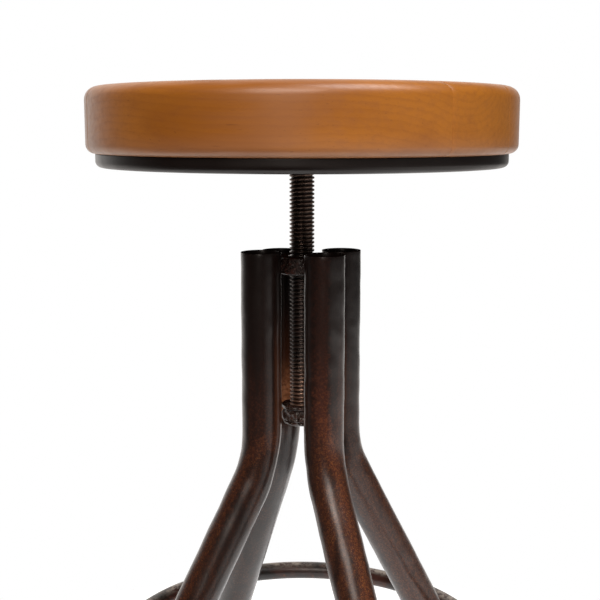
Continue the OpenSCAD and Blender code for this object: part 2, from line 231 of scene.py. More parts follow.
def polar(radius, angle, level):
    """Points at a radius and an angle round the upright axis, and at a level."""
    return np.stack(np.broadcast_arrays(radius * np.cos(angle), radius * np.sin(angle), level), axis=-1)


def closed_faces(rows, columns):
    """Four-cornered faces of a grid that closes both ways, as on a ring."""
    here = np.arange(rows * columns).reshape(rows, columns)
    beside = np.roll(here, -1, axis=1)
    below, across = np.roll(here, -1, axis=0), np.roll(beside, -1, axis=0)
    return np.stack([here, beside, across, below], axis=-1).reshape(-1, 4)


def capped_faces(rows, columns):
    """Faces of a grid that closes across its columns, with a flat face over its first and last row."""
    last_row = (rows - 1) * columns
    sides = closed_faces(rows, columns)[:last_row].tolist()
    return sides + [list(range(columns))[::-1], list(range(last_row, rows * columns))]


def merge_close(mesh):
    """Joins points that lie on each other, so poles and seams are closed."""
    work = bmesh.new()
    work.from_mesh(mesh)
    bmesh.ops.remove_doubles(work, verts=work.verts, dist=1e-6)
    bmesh.ops.dissolve_degenerate(work, edges=work.edges, dist=1e-7)
    work.to_mesh(mesh)
    work.free()
    mesh.validate()
    mesh.update()


def face_outwards(mesh):
    """Flips a closed mesh if its volume is negative. The volume is the sum of the pyramids from its
    triangles to the origin."""
    mesh.calc_loop_triangles()
    corners = np.empty(3 * len(mesh.loop_triangles), dtype=np.int32)
    mesh.loop_triangles.foreach_get("vertices", corners)
    places = np.empty(3 * len(mesh.vertices), dtype=np.float32)
    mesh.vertices.foreach_get("co", places)
    triangle = places.reshape(-1, 3)[corners].reshape(-1, 3, 3).astype(float)
    volume = np.einsum("ij,ij->", triangle[:, 0], np.cross(triangle[:, 1], triangle[:, 2])) / 6
    if volume < 0:
        mesh.flip_normals()


def make_piece(name, shape, finish, body, node, seam_angle=40):
    """A mesh object from points in metres and their faces, facing outwards, in place of a node."""
    points, faces = shape
    points = np.asarray(points, dtype=float).reshape(-1, 3)
    mesh = bpy.data.meshes.new(name)
    mesh.from_pydata(points.tolist(), [], faces if isinstance(faces, list) else faces.tolist())
    merge_close(mesh)
    face_outwards(mesh)
    mesh.polygons.foreach_set("use_smooth", [True] * len(mesh.polygons))
    mesh.set_sharp_from_angle(angle=math.radians(seam_angle))
    mesh.materials.append(finish)
    piece = bpy.data.objects.new(name, mesh)
    bpy.context.scene.collection.objects.link(piece)
    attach(piece, body)
    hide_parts(node)


def joined(parts):
    """One set of points and faces from several."""
    points, faces, count = [], [], 0
    for part_points, part_faces in parts:
        part_points = np.asarray(part_points, dtype=float).reshape(-1, 3)
        points.append(part_points)
        faces += [[corner + count for corner in face] for face in part_faces]
        count += len(part_points)
    return np.concatenate(points), faces


def ripple(points, wavelength, seed, count=22):
    """Smooth noise from about -1 to 1: the mean of sine waves that run in seeded directions."""
    draw = np.random.default_rng(seed)
    ways = draw.normal(size=(count, 3))
    ways /= np.linalg.norm(ways, axis=1, keepdims=True)
    pace = TURN / (wavelength * draw.uniform(0.7, 1.6, size=count))
    start = draw.uniform(0, TURN, size=count)
    waves = np.sin(np.tensordot(points, (ways * pace[:, None]).T, axes=1) + start)
    return waves.sum(axis=-1) * math.sqrt(2 / count) / 1.6


def outline(corners, radii, steps=7, hold=0.5 * MM):
    """A closed outline through the corners, each rounded to its radius by an arc that touches both sides.
    A point on each side, the hold away from the arc, keeps the side flat."""
    corners = np.asarray(corners, dtype=float)
    points = []
    for index, radius in enumerate(radii):
        corner = corners[index]
        back = corners[index - 1] - corner
        ahead = corners[(index + 1) % len(corners)] - corner
        reach = 0.45 * min(np.linalg.norm(back), np.linalg.norm(ahead))
        back, ahead = back / np.linalg.norm(back), ahead / np.linalg.norm(ahead)
        half = 0.5 * math.acos(float(np.clip(back @ ahead, -1, 1)))
        start = min(radius / math.tan(half), reach)
        bow = start * math.tan(half)
        middle = (back + ahead) / np.linalg.norm(back + ahead)
        centre = corner + middle * bow / math.sin(half)
        first = corner + back * start - centre
        last = corner + ahead * start - centre
        turn = math.atan2(first[0] * last[1] - first[1] * last[0], first @ last)
        angles = np.linspace(0, turn, steps)
        cos, sin = np.cos(angles), np.sin(angles)
        arc = np.stack([first[0] * cos - first[1] * sin, first[0] * sin + first[1] * cos], axis=1)
        edge = min(hold, 0.4 * reach)
        points.append(centre + first + back * edge)
        points.extend(centre + arc)
        points.append(centre + last + ahead * edge)
    return np.array(points)


def turned(profile, segments, centre_x=0.0):
    """Surface of a closed outline of radius and height, turned once round an upright axis."""
    points = polar(profile[:, :1], circle(segments), profile[:, 1:]) + (centre_x, 0, 0)
    return points, closed_faces(len(profile), segments)


def roughened(points, height, wavelength, seed):
    """A grid that closes both ways, moved along its normals by a ripple of that height. The normals come
    from the differences across each point."""
    along = np.roll(points, -1, axis=0) - np.roll(points, 1, axis=0)
    across = np.roll(points, -1, axis=1) - np.roll(points, 1, axis=1)
    normal = np.cross(across, along)
    normal /= np.maximum(np.linalg.norm(normal, axis=-1, keepdims=True), 1e-12)
    return points + normal * (height * ripple(points, wavelength, seed))[..., None]


def spun(points, angle):
    """Points turned about the screw by an angle in degrees."""
    cos, sin = math.cos(math.radians(angle)), math.sin(math.radians(angle))
    return points @ np.array([[cos, sin, 0], [-sin, cos, 0], [0, 0, 1]])


def poles_closed(grid):
    """The grid with each end row drawn together to one point."""
    grid[0], grid[-1] = grid[0].mean(axis=0), grid[-1].mean(axis=0)
    return grid


# Finishes

class Nodes:
    """A tree of nodes. node adds one, plug fills a socket, and the others add nodes and return the socket
    that holds the result."""

    def __init__(self, tree):
        self.tree = tree

    def plug(self, socket, source):
        """Links a source to a socket, or sets the socket to a number, a vector or an opaque colour."""
        if isinstance(source, NodeSocket):
            self.tree.links.new(source, socket)
        elif socket.type == "RGBA":
            socket.default_value = (*source[:3], 1.0)
        else:
            socket.default_value = source

    def node(self, kind, sources=None, **settings):
        made = self.tree.nodes.new(kind)
        for key, value in settings.items():
            setattr(made, key, value)
        for socket, source in (sources or {}).items():
            self.plug(made.inputs[socket], source)
        return made

    def span(self, source, start, end, low_value=0.0, high_value=1.0, way="LINEAR"):
        return self.node("ShaderNodeMapRange", {
            "Value": source, "From Min": start, "From Max": end,
            "To Min": low_value, "To Max": high_value}, interpolation_type=way).outputs["Result"]

    def ramp(self, source, start, end, low_value=0.0, high_value=1.0):
        return self.span(source, start, end, low_value, high_value, "SMOOTHSTEP")

    def math(self, operation, first, second=0.0):
        return self.node("ShaderNodeMath", {0: first, 1: second}, operation=operation).outputs[0]

    def times(self, product, *factors):
        for factor in factors:
            product = self.math("MULTIPLY", product, factor)
        return product

    def mix(self, share, first, second):
        return self.node("ShaderNodeMix", {0: share, 6: first, 7: second}, data_type="RGBA").outputs[2]


class Finish(Nodes):
    """Builds one material. feed fills its shader, and the others return sockets to feed it with."""

    def __init__(self, name):
        self.material = bpy.data.materials.new(name)
        self.material.use_nodes = True
        super().__init__(self.material.node_tree)
        self.shader = self.tree.nodes["Principled BSDF"]
        self.where = self.tree.nodes.new("ShaderNodeTexCoord").outputs["Object"]

    def placed(self, **settings):
        """The place on the piece, under a Mapping node's Scale, Location and Rotation."""
        return self.node("ShaderNodeMapping", {"Vector": self.where, **settings}).outputs["Vector"]

    def noise(self, scale, detail, roughness, vector=None, distortion=0.0):
        return self.node("ShaderNodeTexNoise", {
            "Vector": vector or self.where, "Scale": scale, "Detail": detail,
            "Roughness": roughness, "Distortion": distortion}).outputs["Fac"]

    def vector(self, operation, first, second, result="Vector"):
        made = self.node("ShaderNodeVectorMath", {0: first, 1: second}, operation=operation)
        return made.outputs[result]

    def up(self):
        """How far a surface faces upwards, from -1 to 1."""
        normal = self.node("ShaderNodeNewGeometry").outputs["Normal"]
        return self.node("ShaderNodeSeparateXYZ", {"Vector": normal}).outputs["Z"]

    def by_height(self, heights, *values):
        """A ramp between two heights."""
        height = self.node("ShaderNodeSeparateXYZ", {"Vector": self.where}).outputs["Z"]
        return self.ramp(height, *heights, *values)

    def by_distance(self, distances, *values):
        """A ramp between two level distances from the middle of the screw."""
        level = self.vector("MULTIPLY", self.where, (1, 1, 0))
        return self.ramp(self.vector("LENGTH", level, (0, 0, 0), "Value"), *distances, *values)

    def tint(self, colour, other, source, start, end, low_value=0.0, high_value=1.0):
        """The colour, with a share of the other that changes as the source goes from start to end."""
        return self.mix(self.ramp(source, start, end, low_value, high_value), colour, other)

    def bump(self, source, distance, strength, under=None):
        sources = {"Height": source, "Distance": distance, "Strength": strength}
        if under is not None:
            sources["Normal"] = under
        return self.node("ShaderNodeBump", sources).outputs["Normal"]

    def feed(self, colour, **sources):
        """Fills the shader's sockets, which are named with _ for a space, and returns the material."""
        self.plug(self.shader.inputs["Base Color"], colour)
        for key, source in sources.items():
            self.plug(self.shader.inputs[key.replace("_", " ")], source)
        return self.material


def aged_lacquer(corner, colours, seed):
    """Clear dark lacquer over browned steel: near black at the top of the legs, with long brown streaks and
    fine gold-coloured grit lower down. The near black top is partly painted shade, for the seat's shadow
    on the legs. The leg's age is the share of the brown, and the grit roughens the coat. A browner band
    runs down one side, the sides near the screw are rusty, and the cut top is dull. The light rust beside
    the stop
    is painted brighter: painted light for the lamp that shines between the front legs."""
    finish = Finish(f"aged_lacquer_{corner}")
    age, (upper_middle, lower_middle, half) = AGES[corner], BANDS[corner]
    angle = math.radians(CORNERS[corner])
    shift = finish.placed(Location=(seed, -seed, 0.5 * seed))
    drawn = finish.placed(Location=(seed, seed, seed), Scale=(1, 1, 0.09))
    streaks = finish.noise(75, 3, 0.5, drawn)
    mottle = finish.noise(240, 4, 0.62, shift, 0.2)
    flecks = finish.noise(560, 3, 0.65, shift, 0.2)
    grit = finish.noise(1250, 3, 0.7, shift)
    # Browner lower down and darker at the top: browning, and painted shade of the seat over the legs.
    lower = finish.by_height(BROWNING_AND_SEAT_SHADE, 0.25, 1.0)
    gritty = finish.by_height(BEND, 0.08, 1.0)

    middle = finish.by_height(BEND, upper_middle, lower_middle)
    aside = finish.vector("DOT_PRODUCT", finish.where, (-math.sin(angle), math.cos(angle), 0), "Value")
    aside = finish.math("ABSOLUTE", finish.math("SUBTRACT", aside, middle))
    aside = finish.math("ADD", aside, finish.ramp(mottle, 0.3, 0.7, -2 * MM, 2 * MM))
    banded = finish.times(finish.ramp(aside, half + 3 * MM, half - 3 * MM), age)
    streak = finish.ramp(streaks, 0.40, 0.60, 0.15 * age, 0.55 * age)
    streak = finish.times(finish.math("MAXIMUM", streak, banded), lower)
    colour = finish.mix(streak, colours.lacquer, colours.bronze)
    warm = finish.times(finish.ramp(flecks, 0.44, 0.66), streak, lower, 0.75)
    colour = finish.mix(warm, colour, colours.rust)
    speck = finish.times(finish.ramp(grit, 0.53, 0.68, 0, 0.8), streak, gritty)
    colour = finish.mix(speck, colour, colours.dust)

    rusty = finish.times(
        finish.by_distance(LEG_INSIDES), finish.by_height(RUST_TOP), finish.by_height(RUST_END), 0.35)
    colour = finish.mix(rusty, colour, colours.rust)
    # Light rust beside the stop, painted brighter: painted light for the key lamp shining between the front
    # legs.
    inward = finish.times(
        finish.by_distance(SCREW_SIDES), finish.by_height(RUST_AND_PAINTED_LIGHT_TOP), finish.by_height(RUST_AND_PAINTED_LIGHT_END),
        finish.ramp(mottle, 0.35, 0.6, 0.4, 1.0))
    colour = finish.mix(inward, colour, colours.rust_and_painted_light)

    dull = finish.times(finish.ramp(finish.up(), 0.3, 0.6), finish.by_height(CUT_ENDS))
    shine = finish.math("SUBTRACT", 1.0, dull)
    worn = finish.bump(mottle, 0.10 * MM, 0.35)
    worn = finish.bump(grit, 0.12 * MM, finish.times(gritty, 0.5 + 0.5 * age), worn)
    return finish.feed(
        colour, Roughness=finish.ramp(mottle, 0.3, 0.75, 0.32, 0.42), Normal=worn, IOR=1.5,
        Specular_IOR_Level=finish.times(shine, 0.22), Coat_Weight=finish.times(shine, 0.75),
        Coat_Roughness=0.18, Coat_Normal=worn)


def weld_lacquer(colours, sparkle=0.6):
    """Lacquered weld metal: dark, lumpy, with small bright points, more of them with more sparkle, and
    duller where it faces up."""
    finish = Finish("weld_lacquer")
    lumps = finish.noise(330, 3, 0.6)
    grit = finish.noise(1100, 2, 0.6)
    colour = finish.tint(colours.lacquer, colours.bronze, lumps, 0.44, 0.68, 0.1, 0.8)
    colour = finish.tint(colour, colours.bare, grit, 0.54, 0.7, 0, sparkle)
    shine = finish.ramp(finish.up(), 0.5, 0.9, 0.3 + 0.4 * sparkle, 0.0)
    return finish.feed(
        colour, Roughness=finish.ramp(lumps, 0.3, 0.7, 0.22, 0.45),
        Normal=finish.bump(grit, 0.3 * MM, 0.7, finish.bump(lumps, 1.1 * MM, 0.9)),
        Specular_IOR_Level=shine, Coat_Weight=shine, Coat_Roughness=0.15)


def worn_ring(colours):
    """The legs' lacquer, rubbed to bare steel in patches on top of the foot ring where heels rest."""
    finish = Finish("worn_ring")
    patches = finish.noise(30, 4, 0.6)
    mottle = finish.noise(110, 5, 0.65)
    scuffs = finish.noise(1, 4, 0.6, finish.placed(Scale=(260, 260, 700)))
    colour = finish.tint(colours.lacquer, colours.bronze, patches, 0.4, 0.66)
    colour = finish.tint(colour, colours.rust, mottle, 0.55, 0.72, 0, 0.6)
    rubbed = finish.times(
        finish.ramp(finish.up(), 0.55, 0.98), finish.ramp(patches, 0.38, 0.6),
        finish.ramp(scuffs, 0.36, 0.56))
    colour = finish.mix(rubbed, colour, colours.bare)
    return finish.feed(
        colour, Roughness=finish.ramp(mottle, 0.3, 0.75, 0.3, 0.5), Metallic=finish.times(rubbed, 0.9),
        Normal=finish.bump(scuffs, 0.05 * MM, 0.5, finish.bump(mottle, 0.3 * MM, 0.5)),
        Coat_Weight=0.15, Coat_Roughness=0.25)


def oiled_steel(colours):
    """Dark oiled steel with dark roots, brown film and fine turning marks. The thread is painted lighter
    over
    the legs and near its lower end: painted light where lamps reach it above and below the seat's shade."""
    finish = Finish("oiled_steel")
    film = finish.noise(160, 4, 0.6)
    marks = finish.noise(1, 2, 0.5, finish.placed(Scale=(300, 300, 6000)))
    # Painted light: the thread is lighter near its lower end and above the legs, where lamp light reaches
    # it outside the seat's shade.
    colour = finish.mix(finish.by_height(PAINTED_LIGHT_LOW_THREAD), colours.thread, colours.rubbed)
    colour = finish.mix(finish.by_height(PAINTED_LIGHT_HIGH_THREAD, 0, 0.5), colour, colours.rubbed)
    colour = finish.mix(finish.by_distance(THREAD_ROOTS, 0, 0.85), colour, colours.lacquer)
    colour = finish.tint(colour, colours.bronze, film, 0.42, 0.7, 0, 0.3)
    colour = finish.tint(colour, colours.rubbed, marks, 0.62, 0.8, 0, 0.2)
    return finish.feed(
        colour, Roughness=finish.ramp(film, 0.3, 0.7, 0.24, 0.42), Metallic=0.8,
        Normal=finish.bump(marks, 0.03 * MM, 0.5), Coat_Weight=0.3, Coat_Roughness=0.2)


def black_paint(colours):
    """Smooth black paint with faint orange peel and a few scuffs."""
    finish = Finish("black_paint")
    peel = finish.noise(420, 2, 0.5)
    cloud = finish.noise(18, 4, 0.6)
    scuffs = finish.noise(1, 3, 0.6, finish.placed(Scale=(40, 700, 700), Rotation=(0, 0, 0.5)))
    colour = finish.tint(colours.pan, colours.lacquer, cloud, 0.4, 0.75, 0, 0.35)
    colour = finish.tint(colour, colours.bare, scuffs, 0.7, 0.8, 0, 0.25)
    return finish.feed(
        colour, Roughness=finish.ramp(cloud, 0.3, 0.7, 0.3, 0.44), Specular_IOR_Level=0.35,
        Normal=finish.bump(peel, 0.05 * MM, 0.5), Coat_Weight=0.2, Coat_Roughness=0.25)


def plated_zinc(colours):
    """Zinc plate on the wood screws, clouded and slightly scratched."""
    finish = Finish("plated_zinc")
    cloud = finish.noise(500, 4, 0.6)
    scratches = finish.noise(1, 2, 0.5, finish.placed(Scale=(900, 5000, 900)))
    return finish.feed(
        finish.tint(colours.zinc, colours.bare, cloud, 0.45, 0.75, 0, 0.5), Metallic=0.95,
        Roughness=finish.ramp(cloud, 0.3, 0.7, 0.24, 0.45), Normal=finish.bump(scratches, 0.02 * MM, 0.5))


def moulded_rubber(colours):
    """Matt rubber with a fine grain and dust in its pores."""
    finish = Finish("moulded_rubber")
    grain = finish.noise(1600, 3, 0.6)
    dusty = finish.noise(60, 4, 0.6)
    return finish.feed(
        finish.tint(colours.rubber, colours.dust, dusty, 0.5, 0.75, 0, 0.25), IOR=1.52,
        Roughness=finish.ramp(dusty, 0.3, 0.7, 0.62, 0.8), Normal=finish.bump(grain, 0.08 * MM, 0.6))


def stained_board(index, colours):
    """Stained and lacquered softwood. Growth rings are tubes along the board round a pith below or above
    it, bent by slow noise, with short pores and a soft gloss coat. The side is greyer towards its lower
    edge: a painted sheen that stands for the reflection in the rounded lower edge."""
    finish = Finish(f"stained_{BOARDS[index]}")
    draw = np.random.default_rng(40 + index)
    pith_x, pith_y, pith_z = (
        float(draw.uniform(*reach)) for reach in ((-0.4, 0.4), (-0.03, 0.03), (0.03, 0.09)))
    tilt = (0.0, float(draw.uniform(-0.05, 0.05)), float(draw.uniform(-0.04, 0.04)))
    near, far = (corner[1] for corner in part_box(f"{BOARDS[index]}_board"))
    side = -1 if index % 2 else 1
    seat_middle = 0.64
    heart = (pith_x, pith_y - 0.5 * (near + far), side * pith_z - seat_middle)
    centred = finish.placed(Location=heart, Rotation=tilt)
    rings = finish.node("ShaderNodeTexWave", {
        "Vector": finish.vector("MULTIPLY", centred, (0.12, 1.0, 1.0)), "Scale": 62.0,
        "Distortion": 2.6, "Detail": 2.0, "Detail Scale": 1.3, "Detail Roughness": 0.55},
        wave_type="RINGS", rings_direction="X", wave_profile="SAW").outputs["Fac"]
    pores = finish.noise(1, 3, 0.6, finish.placed(Scale=(45, 900, 900), Location=heart))
    fibre = finish.noise(1, 4, 0.65, finish.placed(Scale=(9, 260, 260), Location=heart))
    cloud = finish.noise(1, 3, 0.5, finish.placed(Scale=(7, 22, 22), Location=heart))
    colour = finish.tint(colours.honey, colours.amber, rings, 0.45, 1.0, 0, 0.2)
    colour = finish.tint(colour, colours.amber, fibre, 0.4, 0.75, 0, 0.3)
    colour = finish.tint(colour, colours.amber, cloud, 0.4, 0.7, 0, 0.55)
    # Painted sheen: greyer towards the lower edge of the side, standing for the reflection there.
    colour = finish.mix(finish.by_height(PAINTED_SHEEN_SIDE, 0, 0.35), colour, colours.painted_sheen)
    dark_pore = tuple(0.45 * value for value in colours.amber)
    colour = finish.tint(colour, dark_pore, pores, 0.63, 0.75, 0, 0.5)
    return finish.feed(
        colour, Roughness=finish.ramp(fibre, 0.3, 0.75, 0.36, 0.5),
        Normal=finish.bump(pores, 0.05 * MM, 0.35, finish.bump(fibre, 0.06 * MM, 0.4)),
        Coat_Weight=0.4, Coat_Roughness=0.28, Coat_IOR=1.45)


# Pieces

def bend_start():
    """Height at which the bends of all four legs begin, from the tallest leg."""
    return max(high(f"{corner}_leg")[2] for corner in CORNERS) - bpy.context.scene.stool_legs.upright


def leg_wall(sizes, foot, top, radius, around, start):
    """Rows down one wall of a leg, from start below its top. The centreline is straight down, then an arc,
    then straight to the foot, and the last row is cut level at the height of the foot pad. In the bend the
    back and front are drawn in and the sides swell, by the squared sine of the way along it."""
    upright_rows, bend_rows, lower_rows = 44, 22, 96
    back, front, sides = 1.0, 0.25, 0.2
    bend_z = bend_start()
    splay, bend = sizes.splay, sizes.bend_radius
    cos, sin = np.cos(around), np.sin(around)
    down = np.linspace(start, top - bend_z, upright_rows)[:, None]
    straight = polar(radius, around, top - down) + (sizes.circle, 0, 0)
    turn = np.linspace(0, splay, bend_rows + 1)[1:, None]
    swell = sizes.flattening * np.sin(np.pi * turn / splay) ** 2
    inward = radius * cos * (1 - swell * np.where(cos < 0, back, front))
    arc = np.stack([
        sizes.circle + bend - (bend - inward) * np.cos(turn),
        radius * sin * (1 + sides * swell),
        bend_z - (bend - inward) * np.sin(turn),
    ], axis=-1)
    root = arc[-1]
    reach = (root[:, 2] - foot) / math.cos(splay)
    share = np.linspace(0, 1, lower_rows + 1)[1:, None, None]
    way = np.array([math.sin(splay), 0, -math.cos(splay)])
    return np.concatenate([straight, arc, root + share * reach[:, None] * way])


def tube(sizes, foot, top, angle, seed):
    """Outer wall down, over the cut end, and the inner wall up again to a rounded lip."""
    around = circle(72)
    lip, calm_top = 0.15 * MM, 12 * MM
    inner_radius = TUBE_RADIUS - sizes.wall
    outer = leg_wall(sizes, foot, top, TUBE_RADIUS, around, lip)
    inner = leg_wall(sizes, foot, top, inner_radius, around, lip)
    outward = outer - inner
    outward /= np.linalg.norm(outward, axis=-1, keepdims=True)
    waves = sizes.waves * ripple(outer, 26 * MM, 10 + seed)
    waves += 0.35 * sizes.waves * ripple(outer, 9 * MM, 30 + seed)
    waves *= np.clip((top - outer[..., 2]) / calm_top, 0, 1)
    outer = outer + outward * waves[..., None]
    quarter = np.linspace(0, math.pi / 2, 5)[1:, None]
    outer_lip, inner_lip = (
        polar(radius + side * lip * (1 - np.cos(quarter)), around, top - lip + lip * np.sin(quarter))
        + (sizes.circle, 0, 0) for radius, side in ((TUBE_RADIUS, -1), (inner_radius, 1)))
    grid = np.concatenate([outer, inner[::-1], inner_lip, outer_lip[::-1]])
    return spun(grid.reshape(-1, 3), angle), closed_faces(len(grid), len(around))


class BuildLegs(Operator):
    """Build the four bent tubes, open at the top and cut level above the feet."""
    bl_idname = "bar_stool.build_legs"
    bl_label = "Build legs"

    def execute(self, context):
        for index, (corner, angle) in enumerate(CORNERS.items()):
            node = f"{corner}_leg"
            shape = tube(context.scene.stool_legs, *levels(node), angle, index)
            finish = aged_lacquer(corner, context.scene.stool_colours, 3.0 * index)
            make_piece(f"{corner}_tube", shape, finish, "base", node)
        return {"FINISHED"}


def foot_pad(sizes, height, angle):
    """A turned pad with a groove round its side, and a slanting rod that fits the tube."""
    end_z = bend_start() - sizes.bend_radius * math.sin(sizes.splay)
    end_x = sizes.circle + sizes.bend_radius * (1 - math.cos(sizes.splay))
    centre_x = end_x + (end_z - height) * math.tan(sizes.splay)
    rim = TUBE_RADIUS / math.cos(sizes.splay) + 2.2 * MM
    hub = 0.4 * MM
    side = ((1.0, 0), (0, 0.9), (0.35, 2.4), (0.85, 2.7), (0.85, 3.1), (0.5, 3.4))
    corners = [(hub, 0)] + [(rim - inset * MM, level * MM) for inset, level in side]
    corners += [(rim - 0.9 * MM, height), (hub, height)]
    radii = [v * MM for v in (0.02, 0.5, 0.5, 0.15, 0.15, 0.15, 0.2, 0.8, 0.02)]
    pad = turned(outline(corners, radii, 5, 0.3 * MM), 96, centre_x)

    fit, plug_length = 0.1 * MM, 21 * MM
    along = np.array([0, 0.4, 0.8, 1.0, 1.0])[:, None, None] * plug_length
    radius = (TUBE_RADIUS - sizes.wall - fit - np.array([0, 0, 0, 0.3, 1.5]) * MM)[:, None, None]
    axis = np.array([-math.sin(sizes.splay), 0, math.cos(sizes.splay)])
    across = np.array([math.cos(sizes.splay), 0, math.sin(sizes.splay)])
    around = circle(48)[:, None]
    outward = np.cos(around) * across + np.sin(around) * np.array([0, 1, 0])
    plug = np.array([centre_x, 0, height]) + along * axis + radius * outward
    plug[0] -= ((plug[0][:, 2] - 0.6 * height) / axis[2])[:, None] * axis
    points, faces = joined([pad, (plug, capped_faces(*plug.shape[:2]))])
    return spun(points, angle), faces


class BuildFeet(Operator):
    """Build the rubber pads with their plugs in the ends of the tubes."""
    bl_idname = "bar_stool.build_feet"
    bl_label = "Build feet"

    def execute(self, context):
        finish = moulded_rubber(context.scene.stool_colours)
        for corner, angle in CORNERS.items():
            height = low(f"{corner}_leg")[2]
            shape = foot_pad(context.scene.stool_legs, height, angle)
            make_piece(f"{corner}_pad", shape, finish, "base", f"{corner}_foot")
        return {"FINISHED"}


def ring_bar(sizes, radius, level):
    """A round bar bent to a circle, with a ridge of weld at the back where its two ends meet."""
    along = circle(300)[:, None]
    around = circle(36)
    ridge, ridge_reach = 0.45 * MM, 2.2 * MM
    from_joint = np.angle(np.exp(1j * (along - math.pi / 2))) * radius / ridge_reach
    bar = 0.5 * sizes.bar + ridge * np.exp(-from_joint ** 2)
    points = polar(radius + bar * np.cos(around), along, level + bar * np.sin(around))
    return roughened(points, 0.1 * MM, 24 * MM, 5), closed_faces(*points.shape[:2])


def ring_beads(sizes, splay, radius, level):
    """Lumpy round beads between ring and leg, each a ball with ripples that circle the joint."""
    pole = np.linspace(0, math.pi, 22)[:, None]
    around = circle(48)
    set_in, tall, wide = 0.5 * sizes.bar, 0.9, 1.25
    cos, sin = math.cos(splay), math.sin(splay)
    tilt = np.array([[cos, 0, sin], [0, 1, 0], [-sin, 0, cos]])
    centre = np.array([radius - set_in * cos, 0, level - set_in * sin])
    parts = []
    for index, angle in enumerate(CORNERS.values()):
        reach = sizes.bead * (1 + 0.035 * np.sin(11 * around + index))
        ball = polar(reach * np.sin(pole), around, reach * np.cos(pole) * tall) * (1, wide, 1)
        ball = poles_closed(ball * (1 + 0.05 * ripple(ball, 5 * MM, 60 + index))[..., None])
        points = spun(ball.reshape(-1, 3) @ tilt.T + centre, angle)
        parts.append((points, capped_faces(*ball.shape[:2])))
    return joined(parts)


class BuildFootRing(Operator):
    """Build the foot ring with its butt joint, and the beads that hold it to the legs."""
    bl_idname = "bar_stool.build_foot_ring"
    bl_label = "Build foot ring"

    def execute(self, context):
        sizes = context.scene.stool_ring
        colours = context.scene.stool_colours
        radius = 0.5 * width("foot_ring") - 0.5 * sizes.bar
        level = 0.5 * sum(levels("foot_ring"))
        make_piece(
            "foot_ring_bar", ring_bar(sizes, radius, level), worn_ring(colours), "base",
            "foot_ring")
        make_piece(
            "foot_ring_beads", ring_beads(sizes, context.scene.stool_legs.splay, radius, level),
            weld_lacquer(colours), "base", "foot_ring_welds")
        return {"FINISHED"}


def collar_ring(inner, outer, bottom, top, chamfer):
    """A turned ring with chamfered edges, slightly uneven all over."""
    corners = [
        (inner + chamfer, bottom), (outer - chamfer, bottom), (outer, bottom + chamfer),
        (outer, top - chamfer), (outer - chamfer, top), (inner + chamfer, top),
        (inner, top - chamfer), (inner, bottom + chamfer),
    ]
    points, faces = turned(outline(corners, [0.25 * MM] * 8, 3, 0.8 * MM), 96)
    return roughened(points, 0.05 * MM, 8 * MM, 7), faces


def collar_beads(outer, bottom, top):
    """Upright beads at the four joints: a closed rod with ripples along it, drawn in at both ends."""
    half_width, thickness, stand_off, wobble = 5.2 * MM, 0.72, 0.15 * MM, 0.35 * MM
    around = circle(40)
    share = np.linspace(0, 1, 34)[:, None]
    ends = np.sqrt(np.clip(1 - np.abs(2 * share - 1) ** 3.2, 0, 1))
    parts = []
    for index, angle in enumerate(CORNERS.values()):
        reach = half_width * ends * (1 + 0.05 * np.sin(share * 22 + index))
        level = bottom + share * (top - bottom) + wobble * np.sin(2 * around + index)
        points = polar(reach, around, level) * (thickness, 1, 1) + (outer + stand_off, 0, 0)
        lumps = 1 + 0.07 * ripple(points, 4 * MM, 80 + index)
        centre = points.mean(axis=1, keepdims=True)
        points = poles_closed(centre + (points - centre) * lumps[..., None])
        parts.append((spun(points.reshape(-1, 3), angle), capped_faces(*points.shape[:2])))
    return joined(parts)


class BuildCollar(Operator):
    """Build the collar that the screw turns in and the beads between it and the tubes."""
    bl_idname = "bar_stool.build_collar"
    bl_label = "Build collar"

    def execute(self, context):
        colours = context.scene.stool_colours
        inner = 0.5 * context.scene.stool_screw.diameter + 0.25 * MM
        outer = 0.5 * width("screw_collar")
        bottom, top = levels("screw_collar")
        chamfer, sparkle = 1 * MM, 0.15
        make_piece(
            "collar_ring", collar_ring(inner, outer, bottom, top, chamfer), weld_lacquer(colours, sparkle),
            "base", "screw_collar")
        make_piece(
            "collar_beads", collar_beads(outer, bottom + chamfer, top - chamfer),
            weld_lacquer(colours, sparkle), "base", "collar_welds")
        return {"FINISHED"}


